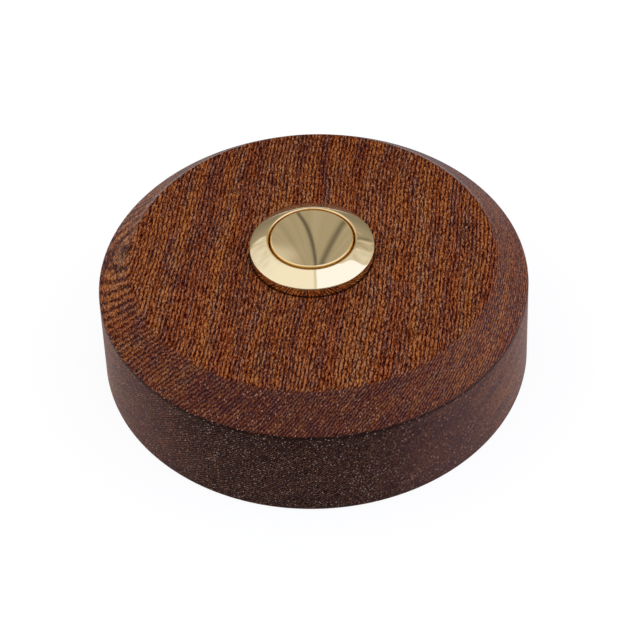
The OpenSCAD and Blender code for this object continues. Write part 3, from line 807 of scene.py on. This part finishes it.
# Button with its dished face
seal_top_z = LIP_Z - SEAL_BELOW_LIP
seal_foot_z = seal_top_z - SEAL_GROOVE_H
hollow_z = LIP_Z - HOLLOW_BELOW_LIP
dish_foot_z = CAP_TOP_Z - DISH_DEPTH - WALL_REACH
rim_foot_z = CAP_TOP_Z - RIM_POLISH
dish_sphere = (DISH_R ** 2 + DISH_DEPTH ** 2) / (2 * DISH_DEPTH)
dish = []
for ring in range(DISH_RINGS + 1):
    radius = DISH_R * (1 - ring / DISH_RINGS)
    depth = DISH_DEPTH - dish_sphere + math.sqrt(dish_sphere ** 2 - radius ** 2)
    dish.append((radius, CAP_TOP_Z - depth, 0))
button_turning = turned("button_turning", (
    (0, CAP_FOOT_Z + SPIGOT_LEN, 0),
    (SPIGOT_R, CAP_FOOT_Z + SPIGOT_LEN, 0),
    (SPIGOT_R, CAP_FOOT_Z, 0),
    (HUB_R, CAP_FOOT_Z, CAP_EASE),
    (HUB_R, hollow_z, 0),
    (HOLLOW_R, hollow_z, 0),
    (HOLLOW_R, CAP_FOOT_Z, CAP_EASE),
    (COLLAR_R, CAP_FOOT_Z, CAP_EASE),
    (COLLAR_R, CAP_FOOT_Z + COLLAR_T, CAP_EASE),
    (CAP_R, CAP_FOOT_Z + COLLAR_T, 0),
    (CAP_R, seal_foot_z, 0),
    (SEAL_GROOVE_R, seal_foot_z, 0),
    (SEAL_GROOVE_R, seal_top_z, 0),
    (CAP_R, seal_top_z, 0),
    (CAP_R, CAP_TOP_Z - RIM_DROP, RIM_EASE),
    *dish), crisp=(DISH_R, CAP_TOP_Z))
dress(button_turning, POLISHED_BRASS, "button_cap", "button")
refinish(button_turning, TURNED_BRASS, (0, COLLAR_R + WALL_REACH), (0, dish_foot_z))
refinish(button_turning, TURNED_BRASS, (CAP_R - RIM_EASE, CAP_R + WALL_REACH), (0, rim_foot_z))
refinish(button_turning, GOLDEN_BRASS, (DISH_R, CAP_R + WALL_REACH), (rim_foot_z, CAP_TOP_Z + WALL_REACH))

# Return spring
spring_foot_z = foot_of("return_spring")
spring_top_z = top_of("return_spring")
coil_spring = coiled(
    "coil_spring", reach_of("return_spring") - WIRE_R, spring_foot_z + WIRE_R, spring_top_z - WIRE_R)
dress(coil_spring, SPRING_STEEL, "return_spring", "base")
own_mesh(coil_spring)

# Rear cover with eased edges, and the rubber grommet in it
cover_plate = eased_copy("cover_plate", "rear_cover", COVER_EASE)
dress(cover_plate, BLACK_PLASTIC, "rear_cover", "base")
grommet_foot_z = foot_of("cable_grommet")
grommet_top_z = top_of("cable_grommet")
grommet_ring = turned("grommet_ring", (
    (GROMMET_BORE_R, grommet_foot_z, GROMMET_FOOT_EASE),
    (GROMMET_R, grommet_foot_z, GROMMET_FOOT_EASE),
    (GROMMET_R, COVER_Z, GROMMET_GROOVE_EASE),
    (GROMMET_NECK_R, COVER_Z, 0),
    (GROMMET_NECK_R, COVER_IN_Z, 0),
    (GROMMET_R, COVER_IN_Z, GROMMET_GROOVE_EASE),
    (GROMMET_R, grommet_top_z, GROMMET_TOP_EASE),
    (GROMMET_BORE_R, grommet_top_z, GROMMET_TOP_EASE)), centre=(0, GROMMET_Y))
dress(grommet_ring, BLACK_RUBBER, "cable_grommet", "base")


# Camera and floor
FLOOR_R = 200 * MM
FLOOR_SIDES = 96
FLOOR_DROP = 0.05 * MM
FLOOR_GREY = (0.5, 0.5, 0.5, 1)
FLOOR_GLOW = 0.9
SHADOW_GREY = (0.15, 0.15, 0.15, 1)


def place_camera():
    """Camera at the photograph's viewpoint."""
    rise = math.radians(VIEW_ELEVATION)
    eye = Vector((0, -math.cos(rise), math.sin(rise))) * VIEW_DISTANCE
    back = eye.normalized()
    right = Vector((1, 0, 0))
    level = Matrix((right, back.cross(right), back))
    roll = Matrix.Rotation(math.radians(VIEW_ROLL), 3, "Z")
    tilt = Matrix.Rotation(math.radians(AIM_TILT), 3, "X")
    turn = Matrix.Rotation(math.radians(AIM_TURN), 3, "Y")
    to_camera = roll @ tilt @ turn @ level
    data = bpy.data.cameras.new("photo_camera")
    data.sensor_width = SENSOR_MM
    data.lens = FOCAL_PX / IMAGE_PX * SENSOR_MM
    data.clip_start = NEAREST_SEEN
    camera = bpy.data.objects.new("photo_camera", data)
    camera.matrix_world = Matrix.Translation(eye) @ to_camera.transposed().to_4x4()
    bpy.context.scene.collection.objects.link(camera)
    bpy.context.scene.camera = camera


def seen_directly(tree):
    """One for rays from the camera and for those off metal and through glass."""
    rays = tree.nodes.new("ShaderNodeLightPath").outputs
    seen = plus(tree, rays["Is Camera Ray"], rays["Is Glossy Ray"], rays["Is Transmission Ray"])
    return calc(tree, "MINIMUM", seen, 1)


def lay_floor():
    """Pale floor, which shows white and keeps a soft shadow."""
    bm = bmesh.new()
    bmesh.ops.create_circle(bm, cap_ends=True, segments=FLOOR_SIDES, radius=FLOOR_R)
    bmesh.ops.translate(bm, verts=bm.verts, vec=(0, 0, -FLOOR_DROP))
    mesh = bpy.data.meshes.new("studio_floor")
    bm.to_mesh(mesh)
    bm.free()
    floor = bpy.data.objects.new("studio_floor", mesh)
    bpy.context.scene.collection.objects.link(floor)
    material, tree, default_shader = new_material("pale_floor")
    tree.nodes.remove(default_shader)
    matt = tree.nodes.new("ShaderNodeBsdfDiffuse")
    matt.inputs["Color"].default_value = FLOOR_GREY
    glow = tree.nodes.new("ShaderNodeEmission")
    glow.inputs["Strength"].default_value = FLOOR_GLOW
    shadow_catch = tree.nodes.new("ShaderNodeBsdfDiffuse")
    shadow_catch.inputs["Color"].default_value = SHADOW_GREY
    white = tree.nodes.new("ShaderNodeAddShader")
    tree.links.new(glow.outputs[0], white.inputs[0])
    tree.links.new(shadow_catch.outputs[0], white.inputs[1])
    either = tree.nodes.new("ShaderNodeMixShader")
    tree.links.new(seen_directly(tree), either.inputs[0])
    tree.links.new(matt.outputs[0], either.inputs[1])
    tree.links.new(white.outputs[0], either.inputs[2])
    tree.links.new(either.outputs[0], tree.nodes["Material Output"].inputs["Surface"])
    mesh.materials.append(material)


place_camera()
lay_floor()


# Studio: levels of light, and soft steps by direction, as where each starts and ends and what it gives there
HALVES = (0.02, 0.05)
LEFT_FALL = (0.6, 0, 0.77, 0.97)
LEFT_FAR = (0.785, 0.8)
LEFT_FAR_LEVEL = 0.42
RIGHT_LEAN = 0.25
RIGHT_FALL = (0.67, 0.63, 0.46, 0.7)
RIGHT_FAR = (0.78, 0.79)
RIGHT_FAR_LEVEL = 0.4
PANEL_ARCH = (0.45, 0.65, 0.1, 0.25)
PANEL_EDGE = (0.012, -0.012)
PANEL_LEVEL = 1.2
SEAM_ACROSS = 0.035
SEAM_EDGE = (0.035, 0.015)
SEAM_LEVEL = 0.74
WALL_SIDES = (0.6, 0.42)
WALL_FRONT = (0.15, 0.35)
WALL_LEVELS = (0, 1, 0.42, 0.66)
GLOW_SIDE = (0, 0.2)
GLOW_TOP = (0.7, 0.5)
LOW_BAND_TOP = (0.31, 0.24)
LOW_BAND_FRONT = (0.6, 0.76)
LOW_BAND_LEVELS = (0, 0.25, 0.26, 0.36)
CAMERA_SIDE = (-0.5, -0.75)
CAMERA_SIDE_LEVEL = 0.14
FLOOR_BACK = (0.5, 0.7)
FLOOR_BACK_LEVELS = (-0.09, -0.14, 0.26, 1)
UNDER_LEVEL = 0.5
HORIZON = (0.002, -0.002)
LOWEST_RISE = 0.02
LEAST_BEHIND = 0.05

# Bands on the ceiling: middle, reach to each side and change of level
LEFT_DIM_BAND = (0.715, 0.03, -0.18)
RIGHT_BRIGHT_BAND = (0.765, 0.022, 0.2)
RIGHT_DIM_BAND = (0.805, 0.025, -0.16)

# Dark streaks on the back wall: start, bend and bow of the line, its reach to each side, and its level
STREAKS = (
    (-0.045, 0.02, 0.03, 0.03, 0.1),
    (-0.012, -0.19, 0, 0.06, 0.17))

# Unevenness of the studio, and the tints of its dim, bright and brightest parts
UNEVEN_SCALE = 9
CLUTTER_GAIN = 0.35
CLUTTER_FRONT = (0, 0.4)
FAN_GAIN = 0.2
DIM_TINT = (1, 0.9, 0.8, 1)
BRIGHT_TINT = (1, 1, 1.12, 1)
BRIGHT_FROM = (0.35, 0.95)
PANEL_TINT = (0.9, 0.98, 1.35, 1)
PANEL_TINT_FROM = (1, 1.15)


def with_band(tree, level, place, middle, reach, change):
    """A level made brighter or dimmer in a soft band round the middle of a place."""
    return plus(tree, level, ease(tree, apart(tree, place, middle), reach, 0, 0, change))


def left_ceiling(tree, y):
    """Level of the ceiling on the left, which has one dim band and steps down to the back."""
    level = with_band(tree, ease(tree, y, *LEFT_FALL), y, *LEFT_DIM_BAND)
    return mix(tree, ease(tree, y, *LEFT_FAR), level, LEFT_FAR_LEVEL)


def right_ceiling(tree, x, y, z):
    """Level of the ceiling on the right: a bright panel with an arched edge, and bands behind it."""
    lean = plus(tree, y, times(tree, z, RIGHT_LEAN))
    level = with_band(tree, ease(tree, lean, *RIGHT_FALL), lean, *RIGHT_BRIGHT_BAND)
    level = mix(tree, ease(tree, lean, *RIGHT_FAR), level, RIGHT_FAR_LEVEL)
    level = with_band(tree, level, lean, *RIGHT_DIM_BAND)
    past_edge = calc(tree, "SUBTRACT", y, ease(tree, x, *PANEL_ARCH))
    return mix(tree, ease(tree, past_edge, *PANEL_EDGE), level, PANEL_LEVEL)


def back_wall(tree, across, aside, steep, z):
    """Level of the back wall: a glow to the right, a faint fan of rays and the dark streaks."""
    glow = times(tree, ease(tree, aside, *GLOW_SIDE), ease(tree, z, *GLOW_TOP))
    rays = calc(tree, "DIVIDE", across, calc(tree, "MAXIMUM", steep, LOWEST_RISE))
    fan = noise(tree, rays, scale=UNEVEN_SCALE, detail=1)
    level = plus(tree, ease(tree, glow, *WALL_LEVELS), contrast(tree, fan, FAN_GAIN))
    for start, bend, bow, reach, dark in STREAKS:
        bent = plus(tree, times(tree, steep, bow), bend)
        line = plus(tree, times(tree, steep, bent), start)
        level = mix(tree, ease(tree, apart(tree, across, line), reach, 0), level, dark)
    return level


def light_studio():
    """Soft studio: a bright ceiling in two halves, a dim back wall, a dark camera side and a pale floor."""
    world = bpy.data.worlds.new("soft_studio")
    world.use_nodes = True
    bpy.context.scene.world = world
    tree = world.node_tree
    direction = tree.nodes.new("ShaderNodeTexCoord").outputs["Generated"]
    x, y, z = parts(tree, direction)
    across = calc(tree, "DIVIDE", x, calc(tree, "MAXIMUM", z, LOWEST_RISE))
    behind = calc(tree, "MAXIMUM", y, LEAST_BEHIND)
    aside = calc(tree, "DIVIDE", x, behind)
    steep = calc(tree, "DIVIDE", z, behind)

    level = mix(tree, ease(tree, across, *HALVES), left_ceiling(tree, y), right_ceiling(tree, x, y, z))
    clutter = contrast(tree, noise(tree, direction, scale=UNEVEN_SCALE, detail=1), CLUTTER_GAIN)
    level = plus(tree, level, times(tree, clutter, ease(tree, y, *CLUTTER_FRONT)))
    seam = ease(tree, apart(tree, across, SEAM_ACROSS), *SEAM_EDGE)
    level = mix(tree, seam, level, SEAM_LEVEL)
    on_wall = times(tree, ease(tree, apart(tree, aside, 0), *WALL_SIDES), ease(tree, y, *WALL_FRONT))
    level = mix(tree, on_wall, level, back_wall(tree, across, aside, steep, z))
    low_band = times(tree, ease(tree, z, *LOW_BAND_TOP), ease(tree, y, *LOW_BAND_FRONT))
    level = mix(tree, low_band, level, ease(tree, z, *LOW_BAND_LEVELS))
    level = mix(tree, ease(tree, y, *CAMERA_SIDE), level, CAMERA_SIDE_LEVEL)

    far_floor = mix(tree, ease(tree, y, *FLOOR_BACK), 1, ease(tree, z, *FLOOR_BACK_LEVELS))
    below = mix(tree, seen_directly(tree), UNDER_LEVEL, far_floor)
    level = mix(tree, ease(tree, z, *HORIZON), level, below)
    background = tree.nodes["Background"]
    tree.links.new(level, background.inputs["Strength"])
    tint = mix_colour(tree, ease(tree, level, *BRIGHT_FROM), DIM_TINT, BRIGHT_TINT)
    tint = mix_colour(tree, ease(tree, level, *PANEL_TINT_FROM), tint, PANEL_TINT)
    tree.links.new(tint, background.inputs["Color"])


light_studio()
bpy.context.scene.view_settings.view_transform = "Standard"
